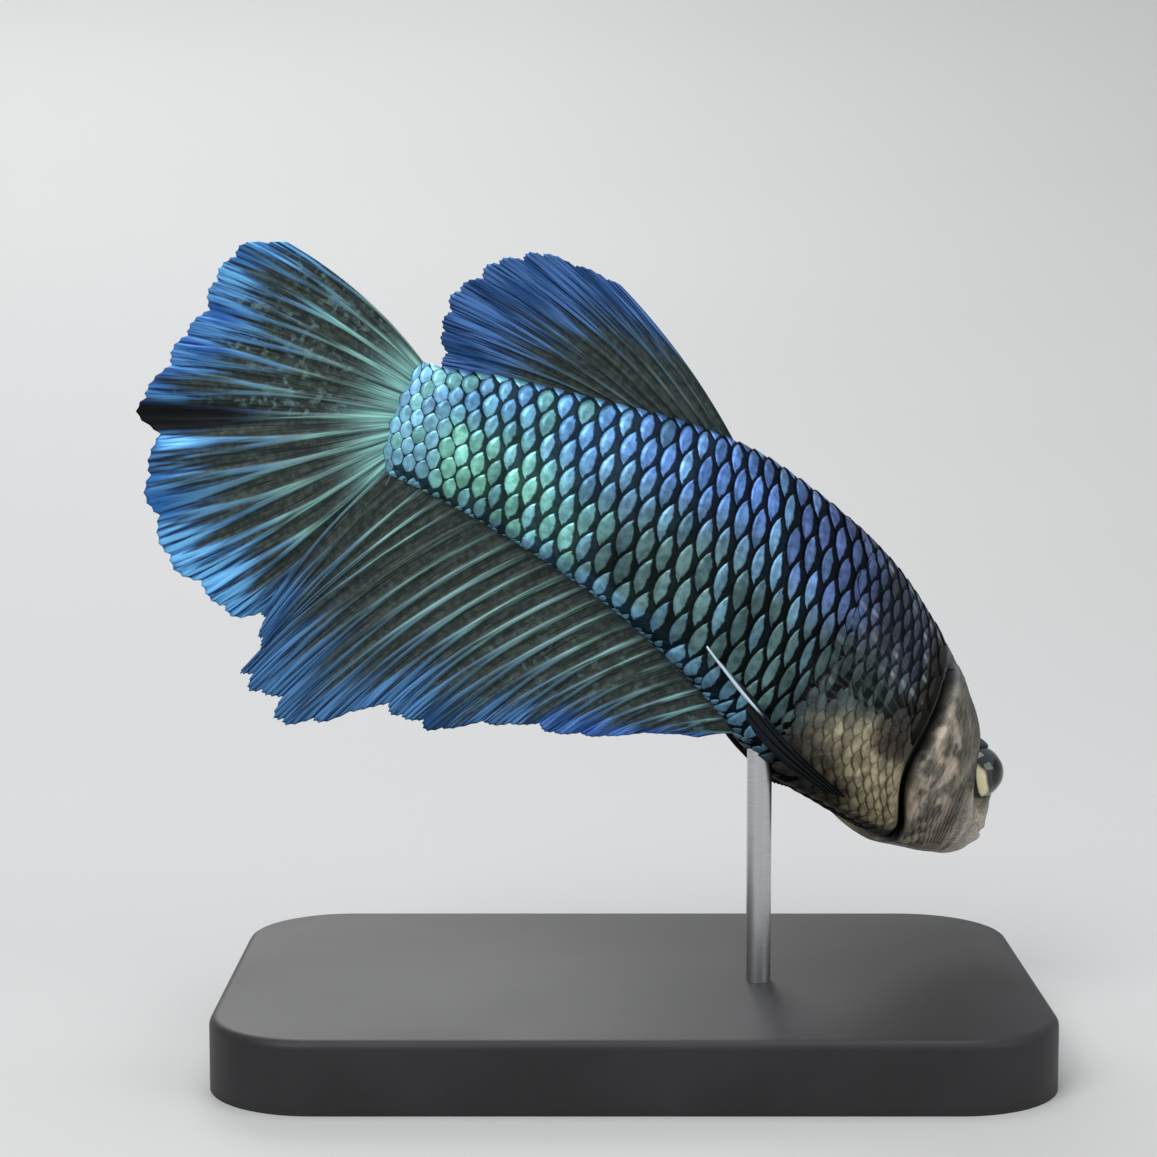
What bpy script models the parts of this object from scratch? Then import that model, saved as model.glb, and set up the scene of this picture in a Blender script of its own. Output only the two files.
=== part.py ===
"""Siamese fighting fish (betta), a life-size still model on a plain display stand.

The fish is shaped straight first, in body lengths: a place is (station, side, up), where
station runs from 0 at the snout to 1 at the root of the tail fin, side is towards the
fish's right, and up is towards its back. pose() then lays that place along the curved
backbone, in metres. The origin is the middle of the stand's underside, with +Z up.
"""

import math

import bmesh
import bpy
from mathutils import Vector

# Driving dimensions, in metres
BODY_LENGTH = 0.047
TAIL_ROOT = Vector((-0.0126, -0.0030, 0.0354))
GAP = 0.0003
TAIL_FIN_GAP = 0.00045
FIN_THICKNESS = 0.0006
SMALL_FIN_THICKNESS = 0.0005
GILL_COVER_THICKNESS = 0.0009
EYE_RADIUS = 0.0016
BASE_LENGTH, BASE_WIDTH, BASE_HEIGHT = 0.046, 0.030, 0.004
BASE_CORNER, BASE_BEVEL = 0.006, 0.0005
ROD_RADIUS = 0.0007
SOCKET_DEPTH = 0.0025

# Headings of the backbone in degrees: turn is away from the +X side, dive is nose down.
TURN = ((-0.1, 61), (0.0, 60), (0.15, 55), (0.30, 43), (0.42, 27), (0.55, 14), (0.70, 6),
        (0.85, 1), (1.0, -2), (1.5, -6))
DIVE = ((-0.1, 36), (0.15, 38), (0.30, 41), (0.42, 42), (0.55, 36), (0.70, 28), (0.85, 23),
        (1.0, 19), (1.5, 14))

# The body's half sizes at its stations, in body lengths
BACK = ((0.0, 0.006), (0.02, 0.028), (0.05, 0.048), (0.10, 0.074), (0.16, 0.100),
        (0.22, 0.117), (0.30, 0.136), (0.45, 0.149), (0.60, 0.149), (0.70, 0.137),
        (0.80, 0.116), (0.90, 0.098), (1.0, 0.080))
BELLY = ((0.0, 0.006), (0.02, 0.027), (0.05, 0.049), (0.10, 0.077), (0.16, 0.100),
         (0.22, 0.117), (0.30, 0.136), (0.38, 0.150), (0.50, 0.132), (0.70, 0.099),
         (0.90, 0.071), (1.0, 0.060))
FLANK = ((0.0, 0.005), (0.02, 0.026), (0.05, 0.046), (0.10, 0.066), (0.16, 0.080),
         (0.22, 0.090), (0.30, 0.092), (0.50, 0.078), (0.70, 0.056), (0.90, 0.032),
         (1.0, 0.018))
FULLNESS = 0.95
STALK_STATION = 0.80
TAIL_BULGE = 0.012
AROUND = 28

EYE_STATION, EYE_SIDE, EYE_UP = 0.105, 0.0425, 0.040
MOUTH_CORNER = (0.052, -0.010)
THROAT_STATION = 0.125
# The gill cover runs from top to bottom in degrees round the head; its depths are at its
# middle and its ends, and its rear edge stands proud.
GILL_TOP, GILL_BOTTOM = 48, 160
GILL_DEPTH, GILL_END_DEPTH, GILL_PROUD = 0.085, 0.012, 0.006
ROD_STATION = 0.40


def smooth(table):
    """A smooth curve through the table's points that never overshoots them."""
    xs, ys = [x for x, y in table], [y for x, y in table]
    slopes = [(ys[k + 1] - ys[k]) / (xs[k + 1] - xs[k]) for k in range(len(xs) - 1)]
    tangents = [slopes[0]]
    for before, after in zip(slopes, slopes[1:]):
        level = before * after <= 0
        tangents.append(0.0 if level else 2 * before * after / (before + after))
    tangents.append(slopes[-1])

    def curve(x):
        x = min(max(x, xs[0]), xs[-1])
        k = max(i for i in range(len(slopes)) if i == 0 or xs[i] <= x)
        width = xs[k + 1] - xs[k]
        t = (x - xs[k]) / width
        start = (1 + 2 * t) * (1 - t) ** 2 * ys[k] + t * (1 - t) ** 2 * width * tangents[k]
        end = t * t * (3 - 2 * t) * ys[k + 1] - t * t * (1 - t) * width * tangents[k + 1]
        return start + end

    return curve


turn, dive = smooth(TURN), smooth(DIVE)
back, belly, flank = smooth(BACK), smooth(BELLY), smooth(FLANK)


def heading(station):
    """The fish's forward, right and up directions at a station."""
    yaw, pitch = math.radians(turn(station)), math.radians(dive(station))
    forward = Vector((math.cos(yaw) * math.cos(pitch), math.sin(yaw) * math.cos(pitch),
                      -math.sin(pitch)))
    right = Vector((math.sin(yaw), -math.cos(yaw), 0.0))
    return forward, right, right.cross(forward)


# The backbone: a point for each hundredth of a body length, with the tail root at 0
STEPS = 100
spine = {STEPS: Vector()}
for k in range(STEPS, -10, -1):
    spine[k - 1] = spine[k] + heading((k - 0.5) / STEPS)[0] * BODY_LENGTH / STEPS
for k in range(STEPS, 150):
    spine[k + 1] = spine[k] - heading((k + 0.5) / STEPS)[0] * BODY_LENGTH / STEPS


def pose(place):
    """A place in the straight fish, laid along the backbone, from the tail root."""
    station, side, up = place
    k = math.floor(station * STEPS)
    centre = spine[k].lerp(spine[k + 1], station * STEPS - k)
    _, right, upward = heading(station)
    return centre + (right * side + upward * up) * BODY_LENGTH


def skin(station, around, inset=0.0):
    """A place on the body's surface; around is 0 at the back and 90 degrees at the right."""
    across = math.copysign(abs(math.sin(around)) ** FULLNESS, math.sin(around))
    height = back(station) if math.cos(around) > 0 else belly(station)
    return Vector((station, (flank(station) - inset) * across,
                   (height - inset) * math.cos(around)))


def gill_line(around):
    """The station of the gill opening, which runs forward along the throat."""
    level = math.cos(around)
    return 0.30 - 0.045 * max(level, 0.0) ** 2 - 0.11 * max(-level, 0.0) ** 3.5


def finish(name, color, roughness, metallic=0.0):
    """A plain material of the part's own colour."""
    material = bpy.data.materials.new(name)
    material.use_nodes = True
    shader = material.node_tree.nodes["Principled BSDF"]
    shader.inputs["Base Color"].default_value = (*color, 1.0)
    shader.inputs["Roughness"].default_value = roughness
    shader.inputs["Metallic"].default_value = metallic
    return material


def piece(name, shape, material=None, parent=None, location=(0, 0, 0)):
    """An object made from a bmesh. One with no material is a cutter, and isn't shown."""
    mesh = bpy.data.meshes.new(name)
    shape.to_mesh(mesh)
    shape.free()
    made = bpy.data.objects.new(name, mesh)
    bpy.context.collection.objects.link(made)
    made.parent = parent
    made.location = location
    if material:
        mesh.materials.append(material)
        mesh.shade_smooth()
    else:
        made.hide_render = True
        made.display_type = "WIRE"
    return made


def face_out(shape):
    """Turn a closed shape's faces outwards."""
    bmesh.ops.recalc_face_normals(shape, faces=shape.faces)
    if shape.calc_volume(signed=True) < 0:
        bmesh.ops.reverse_faces(shape, faces=shape.faces)


def cut(made, cutter, operation="DIFFERENCE"):
    """Cut a piece by a cutter, or keep only what lies inside it."""
    boolean = made.modifiers.new(cutter.name, "BOOLEAN")
    boolean.object = cutter
    boolean.operation = operation
    boolean.solver = "EXACT"


def thicken(made, thickness, offset=0.0):
    """Give a sheet its thickness, half to each side unless it is offset."""
    wall = made.modifiers.new("thickness", "SOLIDIFY")
    wall.thickness = thickness
    wall.offset = offset


def body_length(name, material, start, end, rings, centre=(0.0, 0.0), tuck=0.0, parent=None):
    """A length of the body, from a ball whose rings are drawn out to the body's sections.

    start and end give the station at each angle, centre the stations of the two end
    middles, and tuck how far the first ring is drawn in.
    """
    shape = bmesh.new()
    bmesh.ops.create_uvsphere(shape, u_segments=AROUND, v_segments=rings + 2, radius=1.0)
    for vert in shape.verts:
        ring = round(math.acos(max(-1.0, min(1.0, -vert.co.z))) / math.pi * (rings + 2))
        around = math.atan2(vert.co.x, vert.co.y)
        if ring in (0, rings + 2):
            vert.co = pose((centre[0] if ring == 0 else centre[1], 0.0, 0.0))
            continue
        along = (ring - 1) / rings
        station = start(around) + (end(around) - start(around)) * along
        vert.co = pose(skin(station, around, tuck * max(0.0, 1.0 - along * 3.0)))
    face_out(shape)
    return piece(name, shape, material, parent)


def block(name, corners, half_width, parent):
    """A cutter: an outline of (station, up) corners, drawn out across the fish."""
    shape = bmesh.new()
    outline = [shape.verts.new((station, -half_width, up)) for station, up in corners]
    near = shape.faces.new(outline)
    far = bmesh.ops.extrude_face_region(shape, geom=[near])
    drawn = [item for item in far["geom"] if isinstance(item, bmesh.types.BMVert)]
    bmesh.ops.translate(shape, verts=drawn, vec=(0.0, 2.0 * half_width, 0.0))
    for vert in shape.verts:
        vert.co = pose(vert.co)
    face_out(shape)
    return piece(name, shape, None, parent)


def gill_cover(name, side, material, parent, grow=0.0):
    """The bony plate over the gills, free at its rear edge and a little proud of the body.

    grow widens it on all sides, for the cutter that makes its seat in the head.
    """
    top, bottom = math.radians(GILL_TOP), math.radians(GILL_BOTTOM)
    shape = bmesh.new()
    bmesh.ops.create_grid(shape, x_segments=12, y_segments=5, size=0.5)
    for vert in shape.verts:
        down, rear = vert.co.x + 0.5, vert.co.y + 0.5
        around = top + (bottom - top) * down + grow * 12 * (down - 0.5)
        share = math.sin(math.pi * min(max(down, 0.0), 1.0)) ** 0.6
        depth = GILL_END_DEPTH + GILL_DEPTH * share
        station = gill_line(around) - (depth + grow) * (1.0 - rear) + grow * 2 * rear
        vert.co = pose(skin(station, side * around, -GILL_PROUD * rear))
    if side < 0:
        bmesh.ops.reverse_faces(shape, faces=shape.faces)
    made = piece(name, shape, material, parent)
    if grow:
        outward, inward = 0.001, GILL_COVER_THICKNESS + GAP
        thicken(made, outward + inward, (outward - inward) / (outward + inward))
    else:
        thicken(made, GILL_COVER_THICKNESS, -1.0)
    return made


def still(ray, out=0.0):
    return 0.0


def fin(name, material, parent, rays, steps, root, sweep, reach, bow=still, sway=still,
        splay=0.0, side=1, notch=0.05, thickness=FIN_THICKNESS):
    """A fin as a fan of rays with webs between them, from the first ray (0) to the last (1).

    root gives a ray's place on the body, sweep its angle above the tailward direction in
    degrees, reach its length in body lengths, and bow how far its middle rises. sway
    pushes the sheet sideways, splay spreads a paired fin outward, and notch draws in the
    webs' edges.
    """
    shape = bmesh.new()
    bmesh.ops.create_grid(shape, x_segments=2 * rays, y_segments=steps, size=0.5)
    for vert in shape.verts:
        ray, out = vert.co.x + 0.5, vert.co.y + 0.5
        web = round(ray * 2 * rays) % 2
        angle, tilt = math.radians(sweep(ray)), math.radians(splay)
        length = reach(ray) * (1.0 - notch * web * out ** 3)
        along = length * out
        rise = bow(ray) * length * 4.0 * out * (1.0 - out)
        place = root(ray) + Vector((
            (along * math.cos(angle) - rise * math.sin(angle)) * math.cos(tilt),
            along * math.sin(tilt) + sway(ray, out),
            (along * math.sin(angle) + rise * math.cos(angle)) * math.cos(tilt)))
        vert.co = pose((place.x, side * place.y, place.z))
    made = piece(name, shape, material, parent)
    thicken(made, thickness)
    return made


def ball(radius, segments=16, rings=10):
    shape = bmesh.new()
    bmesh.ops.create_uvsphere(shape, u_segments=segments, v_segments=rings, radius=radius)
    return shape


def rod(radius, bottom, top):
    shape = bmesh.new()
    bmesh.ops.create_cone(shape, cap_ends=True, segments=24, radius1=radius, radius2=radius,
                          depth=top - bottom)
    bmesh.ops.translate(shape, verts=shape.verts, vec=(0.0, 0.0, (top + bottom) / 2))
    return shape


for thing in list(bpy.data.objects):
    bpy.data.objects.remove(thing)

blue_scales = finish("blue_scales", (0.05, 0.17, 0.36), 0.35, 0.5)
grey_skin = finish("grey_skin", (0.14, 0.13, 0.12), 0.5)
blue_fin = finish("blue_fin", (0.02, 0.09, 0.22), 0.4, 0.3)
clear_fin = finish("clear_fin", (0.35, 0.36, 0.33), 0.35)
eye_black = finish("eye_black", (0.02, 0.02, 0.02), 0.08)
stand_black = finish("stand_black", (0.03, 0.03, 0.033), 0.5)
stand_steel = finish("stand_steel", (0.55, 0.55, 0.56), 0.3, 1.0)

fish = bpy.data.objects.new("fish", None)
bpy.context.collection.objects.link(fish)
fish.location = TAIL_ROOT
gap = GAP / BODY_LENGTH

# Head: closed at the gill line, with seats for the gill covers, the eyes and the jaw
head = body_length("head", grey_skin, lambda around: 0.004, gill_line, 13, (0.0, 0.25),
                   parent=fish)
jaw_outline = [(-0.05, 0.006), (0.0, 0.006), MOUTH_CORNER, (THROAT_STATION, -0.13),
               (-0.05, -0.13)]
jaw_seat = [(-0.06, 0.006 + gap), (0.001, 0.006 + gap),
            (MOUTH_CORNER[0] + gap, MOUTH_CORNER[1] + gap),
            (THROAT_STATION + gap, -0.13), (THROAT_STATION, -0.14), (-0.06, -0.14)]
lower_jaw = body_length("lower_jaw", grey_skin, lambda around: 0.004, lambda around: 0.16, 8,
                        (0.0, 0.16), parent=fish)
cut(lower_jaw, block("jaw_block", jaw_outline, 0.12, fish), "INTERSECT")
cut(head, block("jaw_seat", jaw_seat, 0.13, fish))

for side, which in ((1, "right"), (-1, "left")):
    gill_cover("gill_cover_" + which, side, grey_skin, fish)
    cut(head, gill_cover("gill_seat_" + which, side, None, fish, grow=gap))
    centre = pose((EYE_STATION, side * EYE_SIDE, EYE_UP))
    piece("eye_" + which, ball(EYE_RADIUS), eye_black, fish, centre)
    cut(head, piece("socket_" + which, ball(EYE_RADIUS + GAP), None, fish, centre))

# Trunk and tail stalk
trunk = body_length("trunk", blue_scales, lambda around: gill_line(around) + gap,
                    lambda around: STALK_STATION, 18, (0.25 + gap, STALK_STATION),
                    tuck=0.005, parent=fish)
body_length("tail_stalk", blue_scales, lambda around: STALK_STATION + gap,
            lambda around: 1.0, 7, (STALK_STATION + gap, 1.0 + TAIL_BULGE), parent=fish)


# Unpaired fins
def dorsal_root(ray):
    station = 0.645 + 0.150 * ray
    return Vector((station, 0.0, back(station) + gap))


def anal_root(ray):
    station = 0.440 + 0.520 * ray
    return Vector((station, 0.0, -belly(station) - gap))


def tail_root(ray):
    bulge = TAIL_BULGE * (1.0 - abs(2.0 * ray - 1.0))
    return Vector((1.0 + bulge + TAIL_FIN_GAP / BODY_LENGTH, 0.0, 0.072 - 0.126 * ray))


fin("dorsal_fin", blue_fin, fish, 11, 6, dorsal_root,
    sweep=smooth(((0, 30), (0.35, 22), (0.7, 10), (1, 0))),
    reach=smooth(((0, 0.216), (0.2, 0.255), (0.4, 0.267), (0.6, 0.256), (1, 0.178))),
    bow=lambda ray: 0.022 - 0.01 * ray,
    sway=lambda ray, out: 0.010 * out * out * math.sin(5.0 * ray))
fin("anal_fin", blue_fin, fish, 22, 6, anal_root,
    sweep=smooth(((0, -40), (0.11, -50), (0.35, -54), (0.65, -53), (0.80, -53), (0.90, -58),
                  (1, -63))),
    reach=smooth(((0, 0.045), (0.12, 0.132), (0.31, 0.205), (0.44, 0.268), (0.56, 0.282),
                  (0.67, 0.346), (0.82, 0.320), (0.91, 0.280), (1, 0.222))),
    bow=lambda ray: 0.03, sway=lambda ray, out: 0.016 * out * ray ** 2)
fin("tail_fin", blue_fin, fish, 14, 7, tail_root,
    sweep=smooth(((0, 25), (0.5, -17), (0.85, -53), (1, -68))),
    reach=smooth(((0, 0.205), (0.12, 0.262), (0.3, 0.262), (0.43, 0.297), (0.62, 0.300),
                  (0.80, 0.292), (0.92, 0.262), (1, 0.215))),
    bow=lambda ray: 0.05 * (1.0 - 2.0 * ray),
    sway=lambda ray, out: -0.026 * out * ray ** 2 + 0.010 * out * math.cos(6.5 * ray))


# Paired fins: both on each side, at the lower flank and under the breast
def pectoral_root(ray):
    return skin(0.322 + 0.016 * ray, math.radians(96 + 20 * ray), -0.014)


def pelvic_root(ray):
    return Vector((0.318 + 0.022 * ray, 0.046, -0.138 - 0.010 * ray))


for side, which, low_ray in ((1, "right", -8), (-1, "left", 2)):
    fin("pectoral_fin_" + which, clear_fin, fish, 7, 4, pectoral_root,
        sweep=smooth(((0, 32), (0.5, -4), (1, -42))),
        reach=smooth(((0, 0.135), (0.4, 0.165), (1, 0.110))), splay=20.0, side=side,
        thickness=SMALL_FIN_THICKNESS)
    fin("pelvic_fin_" + which, blue_fin, fish, 4, 7, pelvic_root,
        sweep=smooth(((0, 11), (1, low_ray))),
        reach=smooth(((0, 0.262), (0.35, 0.215), (0.7, 0.150), (1, 0.100))), splay=10.0,
        side=side, thickness=SMALL_FIN_THICKNESS)

# Stand: a flat base, and one rod that is let into both the base and the belly
foot = TAIL_ROOT + pose((ROD_STATION, 0.0, -belly(ROD_STATION)))
base = bmesh.new()
bmesh.ops.create_cube(base, size=1.0)
bmesh.ops.scale(base, verts=base.verts, vec=(BASE_LENGTH, BASE_WIDTH, BASE_HEIGHT))
upright = [edge for edge in base.edges if abs(edge.verts[0].co.z - edge.verts[1].co.z) > 0.001]
bmesh.ops.bevel(base, geom=upright, offset=BASE_CORNER, segments=6, profile=0.5,
                affect="EDGES", material=-1)
rim = [edge for edge in base.edges if min(vert.co.z for vert in edge.verts) > 0.001]
bmesh.ops.bevel(base, geom=rim, offset=BASE_BEVEL, segments=1, profile=0.5,
                affect="EDGES", material=-1)
stand_base = piece("stand_base", base, stand_black, None, (0.0, 0.0, BASE_HEIGHT / 2))
stand_base.data.set_sharp_from_angle(angle=math.radians(30))

seat = BASE_HEIGHT - SOCKET_DEPTH
tip = foot.z + SOCKET_DEPTH
stand_rod = piece("stand_rod", rod(ROD_RADIUS, seat + GAP, tip), stand_steel, None,
                  (foot.x, foot.y, 0.0))
stand_rod.data.set_sharp_from_angle(angle=math.radians(30))
rod_cutter = piece("rod_socket", rod(ROD_RADIUS + GAP, seat, tip + GAP), None, None,
                   (foot.x, foot.y, 0.0))
cut(stand_base, rod_cutter)
cut(trunk, rod_cutter)
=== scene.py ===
"""Siamese fighting fish (betta), a life-size still model on a plain display stand."""

import math
import random

import bmesh
import bpy
import numpy as np
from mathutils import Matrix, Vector


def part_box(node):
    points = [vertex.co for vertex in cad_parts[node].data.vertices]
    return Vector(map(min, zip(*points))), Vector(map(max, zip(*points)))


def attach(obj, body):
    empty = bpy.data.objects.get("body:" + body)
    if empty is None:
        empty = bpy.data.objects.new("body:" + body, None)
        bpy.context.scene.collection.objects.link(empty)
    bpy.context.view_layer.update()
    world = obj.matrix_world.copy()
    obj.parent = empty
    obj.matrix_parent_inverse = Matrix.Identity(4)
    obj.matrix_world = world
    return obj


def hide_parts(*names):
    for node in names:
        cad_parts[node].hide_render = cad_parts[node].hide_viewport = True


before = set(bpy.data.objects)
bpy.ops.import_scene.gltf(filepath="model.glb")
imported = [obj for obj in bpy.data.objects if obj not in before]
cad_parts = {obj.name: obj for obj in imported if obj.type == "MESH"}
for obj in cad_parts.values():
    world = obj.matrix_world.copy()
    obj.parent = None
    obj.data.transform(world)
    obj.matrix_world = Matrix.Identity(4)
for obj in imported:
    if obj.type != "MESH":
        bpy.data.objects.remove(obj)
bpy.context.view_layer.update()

# ---------------------------------------------------------------------------------------
# Body: head, trunk and tail stalk under one skin, hung on a curved backbone. A place in
# the straight fish is (station, side, up) in body lengths: station 0 is the snout and 1 the
# root of the tail, side is to the fish's right. pose() lays it along the backbone, in metres.
BODY_LENGTH = 0.047
TAIL_ROOT = Vector((-0.0126, -0.0030, 0.0354))
TURN = ((-0.1, 61), (0.0, 60), (0.15, 55), (0.30, 43), (0.42, 27), (0.55, 14), (0.70, 6),
        (0.85, 1), (1.0, -2), (1.5, -6))
DIVE = ((-0.1, 36), (0.15, 38), (0.30, 41), (0.42, 42), (0.55, 36), (0.70, 28), (0.85, 23),
        (1.0, 19), (1.5, 14))
BACK = ((0.0, 0.008), (0.02, 0.030), (0.05, 0.049), (0.10, 0.074), (0.16, 0.100),
        (0.22, 0.117), (0.30, 0.136), (0.45, 0.149), (0.60, 0.149), (0.70, 0.137),
        (0.80, 0.116), (0.90, 0.098), (1.0, 0.080), (1.03, 0.079), (1.12, 0.105))
BELLY = ((0.0, 0.008), (0.02, 0.031), (0.05, 0.053), (0.10, 0.078), (0.16, 0.100),
         (0.22, 0.117), (0.30, 0.136), (0.38, 0.150), (0.50, 0.132), (0.70, 0.099),
         (0.90, 0.071), (1.0, 0.060), (1.03, 0.058), (1.12, 0.090))
FLANK = ((0.0, 0.008), (0.02, 0.029), (0.05, 0.048), (0.10, 0.066), (0.16, 0.080),
         (0.22, 0.090), (0.30, 0.092), (0.50, 0.078), (0.70, 0.056), (0.90, 0.032),
         (1.0, 0.018), (1.04, 0.005), (1.12, 0.0035))
FULLNESS = 0.95
GILL_BASE = 0.30
COAT_START, COAT_DEPTH = 0.30, 0.0032


def smooth(table):
    """A smooth curve through the table's points that never overshoots them."""
    xs, ys = [x for x, y in table], [y for x, y in table]
    slopes = [(ys[k + 1] - ys[k]) / (xs[k + 1] - xs[k]) for k in range(len(xs) - 1)]
    tangents = [slopes[0]]
    for before, after in zip(slopes, slopes[1:]):
        level = before * after <= 0
        tangents.append(0.0 if level else 2 * before * after / (before + after))
    tangents.append(slopes[-1])

    def curve(x):
        x = min(max(x, xs[0]), xs[-1])
        k = max(i for i in range(len(slopes)) if i == 0 or xs[i] <= x)
        width = xs[k + 1] - xs[k]
        t = (x - xs[k]) / width
        start = (1 + 2 * t) * (1 - t) ** 2 * ys[k] + t * (1 - t) ** 2 * width * tangents[k]
        end = t * t * (3 - 2 * t) * ys[k + 1] - t * t * (1 - t) * width * tangents[k + 1]
        return start + end

    return curve


def ease(t):
    """0 below 0, 1 above 1, and a soft step between."""
    t = min(max(t, 0.0), 1.0)
    return t * t * (3.0 - 2.0 * t)


def hump(x, width):
    return math.exp(-(x / width) ** 2)


turn, dive = smooth(TURN), smooth(DIVE)
back, belly, flank = smooth(BACK), smooth(BELLY), smooth(FLANK)


def heading(station):
    """The fish's forward, right and up directions at a station."""
    yaw, pitch = math.radians(turn(station)), math.radians(dive(station))
    forward = Vector((math.cos(yaw) * math.cos(pitch), math.sin(yaw) * math.cos(pitch),
                      -math.sin(pitch)))
    right = Vector((math.sin(yaw), -math.cos(yaw), 0.0))
    return forward, right, right.cross(forward)


STEPS, FIRST_STEP, LAST_STEP = 100, -10, 150
spine = {STEPS: TAIL_ROOT.copy()}
for k in range(STEPS, FIRST_STEP, -1):
    spine[k - 1] = spine[k] + heading((k - 0.5) / STEPS)[0] * BODY_LENGTH / STEPS
for k in range(STEPS, LAST_STEP):
    spine[k + 1] = spine[k] - heading((k + 0.5) / STEPS)[0] * BODY_LENGTH / STEPS


def pose(place):
    """A place in the straight fish, laid along the backbone."""
    station, side, up = place
    k = math.floor(station * STEPS)
    centre = spine[k].lerp(spine[k + 1], station * STEPS - k)
    _, right, upward = heading(station)
    return centre + (right * side + upward * up) * BODY_LENGTH


def section(station, around, inset=0.0):
    """A place on the body's outline; around is 0 at the back and 90 degrees at the right."""
    across = math.copysign(abs(math.sin(around)) ** FULLNESS, math.sin(around))
    height = back(station) if math.cos(around) > 0 else belly(station)
    return Vector((station, (flank(station) - inset) * across,
                   (height - inset) * math.cos(around)))


# A ring of skin is named by its base, its station if it stood upright. The gill opening
# runs forward below and above, the scale rows lean on the flank, and the tail's root is
# an arc.
OPENING_FADE = 0.22
FLANK_LEAN, LEAN_MIDDLE, LEAN_SPREAD = 0.042, 0.52, 0.15
ROOT_ARC = 0.6


def lay(base, around):
    """The station at which a ring passes an angle round the body."""
    level = math.cos(around)
    opening = -0.015 - 0.012 * max(level, 0.0) ** 2 - 0.098 * max(-level, 0.0) ** 3.5
    if base < GILL_BASE:
        pull = ease(base / GILL_BASE)
    else:
        pull = 1.0 - ease((base - GILL_BASE) / OPENING_FADE)
    lean = FLANK_LEAN * level * hump(base - LEAN_MIDDLE, LEAN_SPREAD)
    arc = ROOT_ARC * max(base - 1.0, 0.0) * level ** 2
    return base + opening * pull + (lean - arc)


# The gill cover is a plate that ends in a free rolled edge; a slit and a membrane follow it.
gill_profile = smooth(((-0.100, 0.0), (-0.050, 0.0022), (-0.012, 0.0064), (-0.004, 0.0070),
                       (-0.001, 0.0044), (0.0015, -0.0180), (0.0080, -0.0220),
                       (0.0120, -0.0090), (0.0180, -0.0045), (0.0380, 0.0)))
HEAD_END = 0.20
MOUTH_UP, MOUTH_SLOPE, MOUTH_END = 0.010, 0.55, 0.075
MOUTH_MIDDLE = Vector((0.075, 0.0, 0.0))
EYE_RADIUS = 0.0016
EYE_BALL = EYE_RADIUS / BODY_LENGTH
EYE = Vector((0.105, 0.0425, 0.040))
EYE_AXIS = Vector((-0.08, 1.0, 0.10)).normalized()
APERTURE = 0.0312
NOSTRIL = Vector((0.047, 0.024, 0.037))
NOSE_MIDDLE = Vector((0.07, 0.0, 0.0))


def mirrored(place, side):
    """A place or direction on the right of the fish, or the same on its left."""
    return Vector((place.x, side * place.y, place.z))


def relief(base, around):
    """How far the head's plates stand out from the plain outline, in body lengths: the gill
    cover, the cheek's edge and the groove behind it, the jaw muscle, the groove under it,
    and the cleft between the covers under the throat."""
    down = math.degrees(abs(around))
    opened = ease((down - 38.0) / 14.0) * (1.0 - 0.75 * ease((down - 166.0) / 12.0))
    height = gill_profile(base - GILL_BASE) * opened
    cheek_edge = 0.222 - 0.085 * ease((down - 62.0) / 85.0)
    on_cheek = ease((down - 55.0) / 20.0) * (1.0 - ease((down - 150.0) / 15.0))
    height += on_cheek * (0.0016 * hump(base - cheek_edge, 0.0090)
                          - 0.0015 * hump(base - cheek_edge - 0.012, 0.0070))
    height += 0.0030 * hump(base - 0.150, 0.030) * hump(down - 105.0, 28.0)
    height -= 0.0010 * hump(base - 0.085, 0.035) * hump(down - 128.0, 11.0)
    height -= 0.0060 * hump(down - 180.0, 7.0) * hump(base - 0.17, 0.07)
    return height


def lips(place):
    """The mouth: an upper and a fuller lower lip, either side of a slit."""
    above = place.z - (MOUTH_UP - MOUTH_SLOPE * place.x)
    fade = 1.0 - ease((place.x - 0.038) / 0.020)
    outward = (place - MOUTH_MIDDLE).normalized()
    lip = 0.0018 * hump(above - 0.0080, 0.0060) + 0.0024 * hump(above + 0.0090, 0.0070)
    groove = 0.0008 * hump(above - 0.0190, 0.0050) + 0.0009 * hump(above + 0.0215, 0.0055)
    slit = 0.0110 * hump(above, 0.0026)
    return place + outward * fade * (lip - slit - groove)


def socket(place, side):
    """The skin round the eye: a collar that rises up the ball, and nothing over the ball."""
    axis = mirrored(EYE_AXIS, side)
    offset = place - mirrored(EYE, side)
    height = offset.dot(axis)
    radius = (offset - axis * height).length
    rim = math.sqrt(EYE_BALL ** 2 - APERTURE ** 2)
    inside = 1.0 - ease((radius - APERTURE + 0.0060) / 0.0085)
    around_ball = (offset - axis * height).normalized()
    rearward = ease(around_ball.dot(Vector((0.84, 0.0, -0.54))) / 0.8)
    collar = rim + 0.0010 - 0.0150 * inside - 0.0260 * rearward
    share = hump(max(radius - APERTURE - 0.001, 0.0), 0.0145 + 0.0170 * rearward)
    share *= ease((height + 0.016) / 0.014)
    lifted = place + axis * (collar - height) * share
    crease = 0.0012 * hump(radius - APERTURE - 0.0125, 0.0034)
    return lifted - axis * crease


def nostril(place, side):
    """A small pit with a raised rim."""
    centre = mirrored(NOSTRIL, side)
    away = (place - centre).length
    depth = 0.0014 * hump(away - 0.0062, 0.0024) - 0.0060 * hump(away, 0.0040)
    return place + (centre - NOSE_MIDDLE).normalized() * depth


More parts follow.
